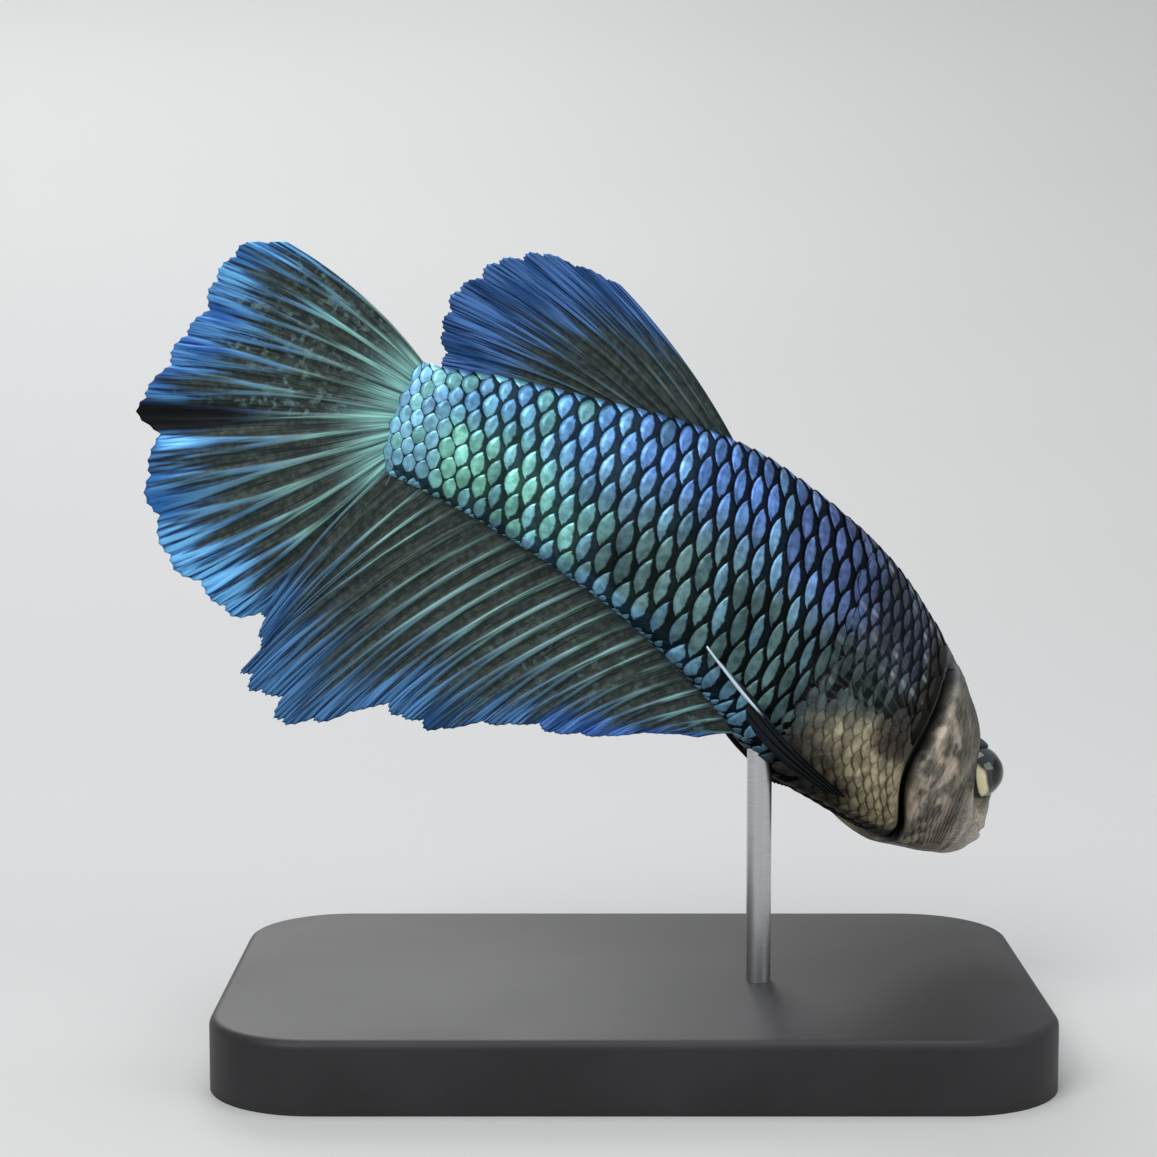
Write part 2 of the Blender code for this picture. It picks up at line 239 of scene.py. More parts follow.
def fleshed(base, around, lift=0.0):
    """A place on the fish's skin, with the head's features, lift above it."""
    coated = COAT_DEPTH * ease((base - COAT_START) / 0.05)
    place = section(lay(base, around), around, coated - lift - relief(base, around))
    side = 1.0 if around >= 0.0 else -1.0
    if base < MOUTH_END:
        place = lips(place)
    if base < HEAD_END:
        place = nostril(socket(place, side), side)
    return place


def laid(piece_name, shape, material, *replaced):
    """The finished object from a bmesh: it rides on the model and stands for CAD nodes."""
    mesh = bpy.data.meshes.new(piece_name)
    shape.to_mesh(mesh)
    shape.free()
    mesh.shade_smooth()
    mesh.materials.append(material)
    made = bpy.data.objects.new(piece_name, mesh)
    bpy.context.collection.objects.link(made)
    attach(made, "root")
    if replaced:
        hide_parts(*replaced)
    return made


def face_out(shape):
    """Turn a closed shape's faces outwards."""
    bmesh.ops.recalc_face_normals(shape, faces=shape.faces)
    if shape.calc_volume(signed=True) < 0:
        bmesh.ops.reverse_faces(shape, faces=shape.faces)


# Skin paint. The class writes shader sums as plain expressions; a finish is a Principled
# shader with its fixed values on its own sockets and its varying ones linked.
class Wire:
    """A socket in a material's tree."""

    def __init__(self, tree, socket=None):
        self.tree = tree
        self.socket = socket

    def node(self, kind, settings=None, inputs=None, output=0):
        """Any node: its settings first, then the values or links of its sockets."""
        made = self.tree.nodes.new("ShaderNode" + kind)
        for name, value in (settings or {}).items():
            setattr(made, name, value)
        for name, value in (inputs or {}).items():
            if isinstance(value, Wire):
                self.tree.links.new(value.socket, made.inputs[name])
            else:
                made.inputs[name].default_value = value
        return Wire(self.tree, made.outputs[output])

    def math(self, operation, *values):
        return self.node("Math", {"operation": operation}, dict(enumerate(values)))

    def __add__(self, other):
        return self.math("ADD", self, other)

    __radd__ = __add__

    def __sub__(self, other):
        return self.math("SUBTRACT", self, other)

    def __rsub__(self, other):
        return self.math("SUBTRACT", other, self)

    def __mul__(self, other):
        return self.math("MULTIPLY", self, other)

    __rmul__ = __mul__

    def __truediv__(self, other):
        return self.math("DIVIDE", self, other)

    def __pow__(self, other):
        return self.math("POWER", self, other)

    def step(self, start, end):
        """0 where this is at start, 1 where it is at end, and soft between."""
        return self.node("MapRange", {"interpolation_type": "SMOOTHSTEP"},
                         {0: self, 1: start, 2: end, 3: 0.0, 4: 1.0})

    def pick(self, colour, other):
        """colour where this is 0, and other where it is 1."""
        return self.node("Mix", {"data_type": "RGBA"}, {0: self, 6: colour, 7: other}, 2)

    def dim(self, colour):
        """The colour multiplied by this."""
        grey = self.node("CombineColor", {}, {0: self, 1: self, 2: self})
        return self.node("Mix", {"data_type": "RGBA", "blend_type": "MULTIPLY"},
                         {0: 1.0, 6: colour, 7: grey}, 2)

    def read(self, name):
        return self.node("Attribute", {"attribute_name": name}, {}, "Fac")

    def grain(self, scale, detail=2.0, stretch=None):
        """Noise in the object's own coordinates, with scale in turns for each metre."""
        place = self.node("TexCoord", {}, {}, "Object")
        if stretch:
            place = self.node("Mapping", {}, {"Vector": place, "Scale": stretch})
        return self.node("TexNoise", {}, {"Vector": place, "Scale": scale, "Detail": detail})

    def bump(self, strength, depth):
        """The bump of a surface that this is the height of, depth metres deep."""
        return self.node("Bump", {}, {"Strength": strength, "Distance": depth,
                                      "Height": self})


def rgb(red, green, blue):
    """A colour from the 0-255 numbers of a paint card, made linear."""
    return tuple(((part / 255 + 0.055) / 1.055) ** 2.4 for part in (red, green, blue)) + (1.0,)


def finish(name, fixed, varying):
    """A material: fixed values for some sockets, and a paint function for the others."""
    material = bpy.data.materials.new(name)
    material.use_nodes = True
    shader = material.node_tree.nodes["Principled BSDF"]
    for target, value in fixed.items():
        shader.inputs[target].default_value = value
    for target, wire in varying(Wire(material.node_tree)).items():
        material.node_tree.links.new(wire.socket, shader.inputs[target])
    return material


ROYAL, AZURE, TEAL = rgb(98, 140, 208), rgb(110, 168, 220), rgb(114, 152, 154)
MINT, GREEN, SKY = rgb(150, 230, 228), rgb(146, 224, 192), rgb(146, 208, 246)
PERIWINKLE, SLATE, PLUM = rgb(100, 126, 188), rgb(66, 80, 82), rgb(72, 80, 96)
BEIGE, UMBER = rgb(180, 170, 138), rgb(74, 63, 48)
HEAD_GREY, HEAD_DARK, HEAD_PALE = rgb(128, 122, 107), rgb(60, 59, 52), rgb(198, 184, 166)
ORBIT_DARK, GILL_BROWN, NAPE_GREY = rgb(36, 38, 42), rgb(54, 49, 43), rgb(60, 65, 74)
GILL_SHADOW_BLACK = rgb(4, 8, 10)


def spot(base, down, centre, drop, length, width):
    """1 in the middle of an oval patch of the skin, and 0 outside it."""
    away = ((base - centre) / length) ** 2.0 + ((down - drop) / width) ** 2.0
    return away.step(1.0, 0.25)


def breast_spot(base, down):
    return spot(base, down, 0.360, 0.79, 0.105, 0.24)


def head_markings(start, base, down):
    """The head's greys: soft blotches, fine grain, and pale flecks by the gills and jaw."""
    blotch = start.grain(620.0, 4.0).step(0.33, 0.65)
    grain = start.grain(3800.0, 3.0).step(0.30, 0.70)
    head = (0.72 * blotch + 0.28 * grain).pick(HEAD_DARK, HEAD_GREY)
    by_gill = base.step(0.195, 0.255) * down.step(0.36, 0.50)
    flecks = start.grain(900.0, 4.0).step(0.44, 0.64)
    head = (by_gill * flecks * 0.65).pick(head, HEAD_PALE)
    jaw = base.step(0.21, 0.12) * down.step(0.44, 0.62)
    granules = start.grain(4600.0, 2.0).step(0.42, 0.64)
    head = (jaw * (0.22 + 0.55 * granules)).pick(head, HEAD_PALE)
    orbit = spot(base, down, 0.135, 0.30, 0.055, 0.20)
    head = (orbit * 0.85).pick(head, ORBIT_DARK)
    smudge = start.grain(420.0, 3.0, (1.0, 1.0, 0.45)).step(0.50, 0.66)
    head = (smudge * base.step(0.06, 0.12) * 0.55).pick(head, HEAD_DARK)
    return (down.step(0.44, 0.18) * 0.90).pick(head, NAPE_GREY)


def markings(start):
    """The fish's colours, for the skin and the scales alike: a royal back over a teal
    flank, mint and sky towards the tail, a slate front, and a beige breast with brown
    round it."""
    wobble = start.grain(260.0) - 0.5
    base = start.read("base") + wobble * 0.05
    down = start.read("down") + wobble * 0.09
    colour = down.step(0.28, 0.52).pick(ROYAL, TEAL)
    colour = (base.step(0.66, 0.88) * down.step(0.75, 0.45)).pick(colour, AZURE)
    colour = spot(base, down, 0.92, 0.70, 0.19, 0.44).pick(colour, MINT)
    colour = (spot(base, down, 0.89, 0.62, 0.11, 0.26) * 0.4).pick(colour, GREEN)
    colour = (base.step(0.94, 0.98) * 0.8).pick(colour, SKY)
    colour = spot(base, down, 0.66, 0.90, 0.36, 0.13).pick(colour, SKY)
    front = base.step(0.60, 0.48)
    colour = (front * down.step(0.55, 0.35)).pick(colour, PERIWINKLE)
    colour = (base.step(0.52, 0.42) * down.step(0.38, 0.52)).pick(colour, SLATE)
    colour = base.step(0.49, 0.41).pick(colour, down.step(0.40, 0.50).pick(PLUM, SLATE))
    colour = breast_spot(base, down).pick(colour, BEIGE)
    colour = (spot(base, down, 0.348, 0.60, 0.036, 0.08) * 0.8).pick(colour, UMBER)
    colour = (spot(base, down, 0.425, 0.88, 0.060, 0.24) * 0.88).pick(colour, GILL_BROWN)
    keel = down.step(0.91, 0.96) * base.step(0.50, 0.44)
    colour = (keel * 0.9).pick(colour, GILL_BROWN)
    behind_gill = base.step(0.365, 0.345) * down.step(0.74, 0.60) * down.step(0.18, 0.28)
    colour = (behind_gill * 0.9).pick(colour, GILL_BROWN)
    return base.step(0.312, 0.298).pick(colour, head_markings(start, base, down))


def skin_paint(start):
    base, slit = start.read("base"), start.read("slit")
    # Painted shade: the skin under the scales is painted much darker, less so past the tail's
    # root.
    scaled = base.step(0.312, 0.345) * (1.0 - breast_spot(base, start.read("down")))
    painted_shade = 1.0 - scaled * (0.90 - 0.45 * base.step(0.990, 1.010))
    # The slit is painted black: painted shadow inside the gill opening.
    colour = slit.pick(painted_shade.dim(markings(start)), GILL_SHADOW_BLACK)
    pores = start.grain(5200.0, 3.0)
    return {"Base Color": colour, "Roughness": 0.36 + 0.20 * start.grain(1300.0, 3.0),
            "Normal": pores.bump(0.45, 0.00005)}


fish_skin = finish("fish_skin", {"Specular IOR Level": 0.25, "Coat Roughness": 0.15,
                                 "Coat Weight": 0.06}, skin_paint)

# The skin itself: a ball whose rings are drawn out to the body, closest on the head.
AROUND, RINGS = 256, 250
SNOUT_TIP, TAIL_TIP = (0.0005, 0.0, 0.0), (1.017, 0.0, 0.0)
SLIT_TOP = 38.0
ring_base = smooth(((0.0, 0.0), (0.16, 0.060), (0.42, 0.270), (0.62, 0.340), (1.0, 1.014)))

shape = bmesh.new()
base_layer = shape.verts.layers.float.new("base")
down_layer = shape.verts.layers.float.new("down")
slit_layer = shape.verts.layers.float.new("slit")
bmesh.ops.create_uvsphere(shape, u_segments=AROUND, v_segments=RINGS + 2, radius=1.0)
for vert in shape.verts:
    ring = round(math.acos(max(-1.0, min(1.0, -vert.co.z))) / math.pi * (RINGS + 2))
    around = math.atan2(vert.co.x, vert.co.y)
    at_pole = ring in (0, RINGS + 2)
    base = ring_base(min(max(ring / (RINGS + 1), 0.002), 1.0))
    down = abs(around) / math.pi
    if at_pole:
        vert.co = pose(SNOUT_TIP if ring == 0 else TAIL_TIP)
    else:
        vert.co = pose(fleshed(base, around))
    vert[base_layer] = base
    vert[down_layer] = 0.5 if at_pole else down
    # The slit is the strip behind the gill cover's edge, widest at the middle. It is painted
    # black, a painted shadow inside the gill opening.
    behind = base - GILL_BASE
    opened = ease((down * 180.0 - SLIT_TOP) / 10.0)
    closed = ease((behind - 0.0100 - 0.0060 * hump(down - 0.60, 0.16)) / 0.0050)
    vert[slit_layer] = opened * ease((behind + 0.001) / 0.002) * (1.0 - closed)
face_out(shape)
skin = laid("skin", shape, fish_skin, "head", "lower_jaw", "gill_cover_right",
            "gill_cover_left", "trunk", "tail_stalk")

# ---------------------------------------------------------------------------------------
# Eyes: glossy balls in the skull, black with a pale gold crescent low at the rear of the
# iris. The clear cornea is their gloss coat.
GOLD, EYE_BLACK, IRIS = rgb(240, 234, 190), rgb(3, 3, 4), rgb(44, 48, 50)
LOW_REAR = Vector((0.50, 0.0, -0.86)).normalized()


def eye_paint(start):
    facing, crescent = start.read("facing"), start.read("crescent")
    ring = facing.step(0.70, 0.60) * facing.step(0.30, 0.36)
    shine = ring * (crescent + 0.10 * start.grain(3000.0, 2.0)).step(0.56, 0.74)
    iris = facing.step(0.80, 0.83).pick(IRIS, EYE_BLACK)
    colour = shine.pick(iris, GOLD)
    return {"Base Color": colour, "Roughness": 0.12 + shine * 0.15}


eye_gloss = finish("eye_gloss", {"Coat Weight": 0.7, "Coat Roughness": 0.03,
                                 "Specular IOR Level": 0.15}, eye_paint)

for side, which in ((1.0, "right"), (-1.0, "left")):
    centre, axis = mirrored(EYE, side), mirrored(EYE_AXIS, side)
    shape = bmesh.new()
    facing_layer = shape.verts.layers.float.new("facing")
    crescent_layer = shape.verts.layers.float.new("crescent")
    bmesh.ops.create_uvsphere(shape, u_segments=72, v_segments=48, radius=1.0)
    for vert in shape.verts:
        out = vert.co.copy()
        facing = out.dot(axis)
        vert[facing_layer] = facing
        vert[crescent_layer] = out.dot(LOW_REAR)
        lens = 1.0 + 0.03 * ease((facing - 0.80) / 0.20)
        vert.co = pose(centre + out * EYE_BALL * lens)
    face_out(shape)
    eye = laid("eyeball_" + which, shape, eye_gloss, "eye_" + which)

# ---------------------------------------------------------------------------------------
# Scales: thin bony plates rooted in the skin, lapped like tiles towards the tail, in rows
# staggered by half a scale. Each has a shining blue lens and dark edges. The rows are
# spaced by arc length, which girths holds for each station and angle down one side.
GIRTHS_A_LENGTH, LAST_GIRTH = 50, 56
ANGLES = [math.pi * k / 72 for k in range(73)]
girths = []
for k in range(LAST_GIRTH + 1):
    places = [section(k / GIRTHS_A_LENGTH, angle) for angle in ANGLES]
    gone = [(after - before).length for before, after in zip(places, places[1:])]
    girths.append(np.cumsum([0.0] + gone))


def around_at(station, arc):
    """The angle of a place arc body lengths round the side from the middle of the back."""
    k = int(station * GIRTHS_A_LENGTH)
    share = station * GIRTHS_A_LENGTH - k
    down_side = girths[k] * (1 - share) + girths[k + 1] * share
    past = max(abs(arc) - down_side[-1], 0.0)
    angle = np.interp(abs(arc) - 2.0 * past, down_side, ANGLES)
    return math.copysign(2.0 * math.pi - angle if past else angle, arc)


def half_girth(station):
    k = int(station * GIRTHS_A_LENGTH)
    share = station * GIRTHS_A_LENGTH - k
    return girths[k][-1] + (girths[k + 1][-1] - girths[k][-1]) * share


PLATE_LENGTH = 3.8
BAKE_PATCH = 0.003
chance = random.Random(7)


class Coat:
    """A coat of scales in one mesh, with each scale's place in its OFBake map."""

    def __init__(self):
        self.shape = bmesh.new()
        floats = self.shape.verts.layers.float
        self.base, self.down = floats.new("base"), floats.new("down")
        self.tone, self.tint = floats.new("tone"), floats.new("tint")
        self.bake = self.shape.loops.layers.uv.new("OFBake")
        self.plate = self.shape.loops.layers.uv.new("plate")

    def scale(self, base, row, pitch, length, width, rise, across, along, lift):
        """One plate, rooted at base; row counts pitches round the side from the back. It
        is widest near its middle, rounded at its end, domed, and rises towards its end."""
        grid = bmesh.ops.create_grid(self.shape, x_segments=across, y_segments=along, size=0.5)
        places = {vert: (vert.co.x * 2.0, vert.co.y + 0.5) for vert in grid["verts"]}
        tone, tint, tilt = chance.random(), chance.random(), chance.uniform(-0.04, 0.04)
        root = around_at(base, row * pitch(base))
        root_uv = Vector((0.5 + 0.48 * root / math.pi, 0.01 + 0.90 * base))
        for vert, (u, v) in places.items():
            half = width * (0.62 + 0.38 * math.sin(math.pi * min(v * 1.15, 1.0) ** 0.8))
            along_base = base + length * v * (1.0 - 0.26 * abs(u) ** 2.2 * v)
            arc = (row + u * half + tilt * (v - 0.5)) * pitch(along_base)
            around = around_at(along_base, arc)
            dome = (1.0 - u * u) * math.sin(math.pi * v * 0.6)
            height = lift * min(3.0 * v, 1.0) + rise * (1.35 * v ** 0.8 - 0.45 + 0.45 * dome)
            vert.co = pose(fleshed(along_base, around, height))
            down = abs(around) / math.pi
            vert[self.base], vert[self.down] = along_base, min(down, 2.0 - down)
            vert[self.tone], vert[self.tint] = tone, tint
        for face in {face for vert in places for face in vert.link_faces}:
            for loop in face.loops:
                u, v = places[loop.vert]
                loop[self.plate].uv = (0.5 + u / 2.0, v)
                loop[self.bake].uv = root_uv + Vector((u / 2.0, v - 0.5)) * BAKE_PATCH

    def lay(self, first, last, pitch, columns, wanted, width=1.12, rise=0.0030, across=6,
            along=5, lift=0.0):
        """Staggered rows from one base to another, wherever a plate is wanted."""
        base, column = first, 0
        while base < last:
            reach = half_girth(base) / pitch(base)
            for row in range(-int(reach) - 1, int(reach) + 2):
                shown = abs(row) < reach - 0.1 and (row + column) % 2 == 0
                if shown and wanted(base, abs(row) / reach):
                    self.scale(base, row, pitch, PLATE_LENGTH * columns(base), width, rise,
                               across, along, lift)
            base += columns(base)
            column += 1

    def finished(self, name, material, thickness):
        """The coat as a piece, its plates given their thickness outwards."""
        coat = laid(name, self.shape, material)
        wall = coat.modifiers.new("thickness", "SOLIDIFY")
        wall.thickness = thickness
        wall.offset = 1.0


def plate_place(start):
    """The place on a scale: -1 to 1 across it, and 0 to 1 from its root to its free edge."""
    place = start.node("UVMap", {"uv_map": "plate"}, {})
    return (start.node("SeparateXYZ", {}, {"Vector": place}, "X") * 2.0 - 1.0,
            start.node("SeparateXYZ", {}, {"Vector": place}, "Y"))


def plate_lens(start, front, soft):
    """1 on the shining leaf of a scale, which lies along its free rear edge."""
    across, along = plate_place(start)
    worn = 0.14 * (start.grain(2000.0, 2.0) - 0.5)
    leaf = along + worn - front - (0.99 - front) * across ** 2.0
    return leaf.step(0.0, soft) * along.step(0.985, 0.985 - soft * 0.6)


def growth_ridges(start, depth):
    """A scale's growth lines: their noise, and the bump that it makes."""
    ridges = start.grain(7000.0, 2.0)
    return ridges, ridges.bump(0.35, depth)


def scale_paint(start):
    """Blue scales: a lens of the body's colour, some paler and some greener, blotched and
    each with its own tone, painted highlights as thin pale streaks on the shoulder, and dark
    edges."""
    base, down = start.read("base"), start.read("down")
    tone, tint = start.read("tone"), start.read("tint")
    front = 0.56 + 0.09 * tint + 0.04 * base.step(0.45, 0.38) - 0.12 * base.step(0.88, 0.97)
    lens = plate_lens(start, front, 0.06)
    rear = base.step(0.50, 0.85)
    colour = markings(start)
    colour = (tint.step(0.72, 0.95) * 0.45 * base.step(0.44, 0.52)).pick(colour, SKY)
    colour = (tint.step(0.26, 0.12) * 0.45 * base.step(0.66, 0.82)).pick(colour, GREEN)
    mottled = start.grain(2200.0, 3.0).step(0.32, 0.66)
    broad = start.grain(300.0, 2.0).step(0.34, 0.60)
    nape = base.step(0.47, 0.39)
    by_place = 0.52 + 0.30 * rear + 0.34 * broad + 0.24 * nape
    bright = (0.56 + 0.48 * tone) * (0.62 + 0.46 * mottled) * by_place
    colour = bright.dim(colour)
    # Painted highlights: thin pale streaks across the rear of some shoulder scales.
    shoulder = base.step(0.48, 0.41) * down.step(0.68, 0.54)
    across, along = plate_place(start)
    thin = ((across + 0.5 * along - 0.45) ** 2.0).step(0.045, 0.0) * along.step(1.0, 0.86)
    painted_glint = shoulder * tone.step(0.40, 0.70) * thin * start.grain(900.0, 2.0).step(0.40, 0.58)
    colour = (painted_glint * 0.55).pick(colour, SHOULDER_GLINT_PALE)
    edge = (0.030 + 0.060 * rear + 0.20 * nape).dim(colour)
    ridges, bump = growth_ridges(start, 0.00004)
    shine = lens * base.step(0.40, 0.52)
    return {"Base Color": lens.pick(edge, colour), "Normal": bump,
            "Metallic": 0.55 * shine, "Roughness": 0.46 - 0.10 * shine + 0.10 * ridges}


SHOULDER_GLINT_PALE = rgb(144, 158, 160)
scale_blue = finish("scale_blue", {"Specular IOR Level": 0.04}, scale_paint)

row_pitch = smooth(((0.30, 0.0330), (0.42, 0.0340), (0.60, 0.0370), (0.70, 0.0350),
                    (0.79, 0.0305), (0.92, 0.0222), (0.97, 0.0185), (1.05, 0.0150)))
column_pitch = smooth(((0.30, 0.0078), (0.43, 0.0086), (0.54, 0.0112), (0.75, 0.0120),
                       (0.90, 0.0108), (0.98, 0.0080), (1.04, 0.0056)))


def on_breast(base, down):
    return ((base - 0.355) / 0.100) ** 2 + ((down - 0.78) / 0.26) ** 2 < 1.0


def on_keel(base, down):
    return down > 0.91 and base > 0.44


def on_flank(base, down):
    """The body's big scales, which end in an arc over the tail's root."""
    end = 0.988 + 0.008 * (1.0 - (2.0 * down - 1.0) ** 2)
    return base < end and not on_breast(base + 0.012, down) and not on_keel(base, down)


def on_shoulder(base, down):
    return not on_breast(base + 0.006, down)


body_coat = Coat()
body_coat.lay(0.418, 1.030, row_pitch, column_pitch, on_flank)
body_coat.finished("body_scales", scale_blue, 0.00004)

# The keel's are the small rows beside the anal fin's root, and the shoulder's are the
# smaller ones behind the gill, which lie over the first of the breast's.
keel_coat = Coat()
keel_coat.lay(0.44, 0.985, lambda base: 0.0155, lambda base: 0.0064, on_keel, rise=0.0024,
              across=4, along=4)
keel_coat.finished("keel_scales", scale_blue, 0.00003)
shoulder_coat = Coat()
shoulder_coat.lay(0.314, 0.432, lambda base: 0.0245, lambda base: 0.0072, on_shoulder,
                  rise=0.0024, across=4, along=4, lift=0.0014)
shoulder_coat.finished("shoulder_scales", scale_blue, 0.00003)


# The breast's scales are half the size, beige with narrow brown edges.
def breast_paint(start):
    tone = start.read("tone")
    across, along = plate_place(start)
    rim = (along + 0.10 * across ** 2.0).step(0.84, 0.95)
    mottled = start.grain(1500.0, 3.0).step(0.35, 0.65)
    colour = ((0.58 + 0.36 * tone) * (0.60 + 0.62 * mottled)).dim(markings(start))
    brown = (0.24 + 0.26 * tone).dim(colour)
    ridges, bump = growth_ridges(start, 0.00004)
    return {"Base Color": rim.pick(colour, brown), "Normal": bump,
            "Roughness": 0.46 + 0.10 * ridges}


scale_beige = finish("scale_beige", {"Specular IOR Level": 0.2}, breast_paint)
breast_coat = Coat()
breast_coat.lay(0.312, 0.47, lambda base: 0.0190, lambda base: 0.0060, on_breast,
                rise=0.0020, across=4, along=4)
breast_coat.finished("breast_scales", scale_beige, 0.00002)


# The head's scales are the smallest: low plates on the nape, cheeks and gill covers.
def head_scale_paint(start):
    tone = start.read("tone")
    colour = (0.90 + 0.16 * tone).dim(markings(start))
    ridges, bump = growth_ridges(start, 0.00003)
    return {"Base Color": colour, "Normal": bump, "Roughness": 0.42 + 0.14 * ridges}


def on_head(base, down):
    nape = down < 0.20 - 0.07 * hump(base - 0.115, 0.045)
    cheek = 0.160 < base < 0.268 and down < 0.84
    return nape or cheek


scale_grey = finish("scale_grey", {"Specular IOR Level": 0.20}, head_scale_paint)
head_coat = Coat()
head_coat.lay(0.115, 0.330, smooth(((0.10, 0.0120), (0.22, 0.0160), (0.34, 0.0290))),
              smooth(((0.10, 0.0042), (0.22, 0.0052), (0.34, 0.0080))), on_head, rise=0.0005,
              across=4, along=3)
head_coat.finished("head_scales", scale_grey, 0.00001)

# ---------------------------------------------------------------------------------------
# Fins: stiff rays rooted in the body, which branch twice towards their tips, with a thin
# web between them. Dark near the body, with shining streaks along the rays and a bright
# blue margin.
OLIVE, SOOT, FIN_BLACK = rgb(62, 72, 68), rgb(22, 32, 32), rgb(8, 12, 14)
FIN_TEAL, FIN_MINT = rgb(112, 146, 148), rgb(150, 218, 206)
FIN_ROYAL = rgb(44, 74, 158)
TAIL_BLUES = rgb(14, 44, 92), rgb(44, 102, 164), rgb(108, 180, 232)
ANAL_BLUES = rgb(10, 28, 58), rgb(30, 68, 112), rgb(74, 122, 170)
DORSAL_BLUES = rgb(12, 34, 66), rgb(38, 74, 124), rgb(74, 114, 172)


def ray_height(across, out):
    """1 on a ray's branches and 0 on the web; across is in rays, out runs to the tips."""
    away = across - round(across)
    first = 0.25 * ease((out - 0.30) / 0.55)
    second = 0.125 * ease((out - 0.62) / 0.40)
    width = 0.20 - 0.135 * out ** 0.7
    return max(hump(away - one * first - two * second, width)
               for one in (-1, 1) for two in (-1, 1))


def still(ray, out=0.0):
    return 0.0


def fin(name, material, node, rays, steps, root, sweep, reach, bow=still, sway=still,
        splay=0.0, side=1, lobes=0.012, thickness=0.00030, pleat=0.0022, fineness=16):
    """A fin as a fan from the first ray (0) to the last (1).

    root gives a ray's place on the body, sweep its angle above the tailward direction in
    degrees, reach its length in body lengths, and bow how far its middle rises. sway
    pushes the sheet sideways, splay spreads a paired fin, and lobes makes the rim uneven.
    """
    shape = bmesh.new()
    floats = shape.verts.layers.float
    ray_layer, out_layer = floats.new("ray"), floats.new("out")
    ridge_layer = floats.new("ridge")
    bmesh.ops.create_grid(shape, x_segments=fineness * rays, y_segments=steps, size=0.5)
    for vert in shape.verts:
        ray, out = vert.co.x + 0.5, vert.co.y + 0.5
        across = ray * rays
        ridge = ray_height(across, out)
        web = abs(across - round(across)) * 2.0
        fine = 1.0 - ray_height(across, 1.0)
        uneven = lobes * (math.sin(1.3 * across + rays) + 0.8 * math.sin(3.1 * across))
        angle, tilt = math.radians(sweep(ray)), math.radians(splay)
        drawn_in = 0.024 * web ** 2 + 0.008 * fine
        length = reach(ray) * (1.0 + uneven * out - drawn_in * out ** 4)
        along = length * out
        rise = bow(ray) * length * 4.0 * out * (1.0 - out)
        folded = pleat * out * (1.0 - 0.4 * out) * math.cos(2.0 * math.pi * across)
        place = root(ray) + Vector((
            (along * math.cos(angle) - rise * math.sin(angle)) * math.cos(tilt),
            along * math.sin(tilt) + sway(ray, out) + folded,
            (along * math.sin(angle) + rise * math.cos(angle)) * math.cos(tilt)))
        vert.co = pose((place.x, side * place.y, place.z))
        vert[ray_layer], vert[out_layer], vert[ridge_layer] = ray, out, ridge
    ridges = [vert[ridge_layer] for vert in shape.verts]
    outs = [vert[out_layer] for vert in shape.verts]
    made = laid(name, shape, material, node)
    group = made.vertex_groups.new(name="ray_thickness")
    for index, (ridge, out) in enumerate(zip(ridges, outs)):
        group.add([index], (0.25 + 0.75 * ridge) * (1.0 - 0.55 * out), "REPLACE")
    wall = made.modifiers.new("thickness", "SOLIDIFY")
    wall.thickness = thickness
    wall.offset = 0.0
    wall.vertex_group = "ray_thickness"
    return made


def along_rays(start, number, stretch, detail=3.0):
    """Noise drawn out along the rays."""
    place = start.node("CombineXYZ", {}, {"X": start.read("ray") * number,
                                          "Y": start.read("out") * stretch})
    return start.node("TexNoise", {}, {"Vector": place, "Scale": 1.0, "Detail": detail})


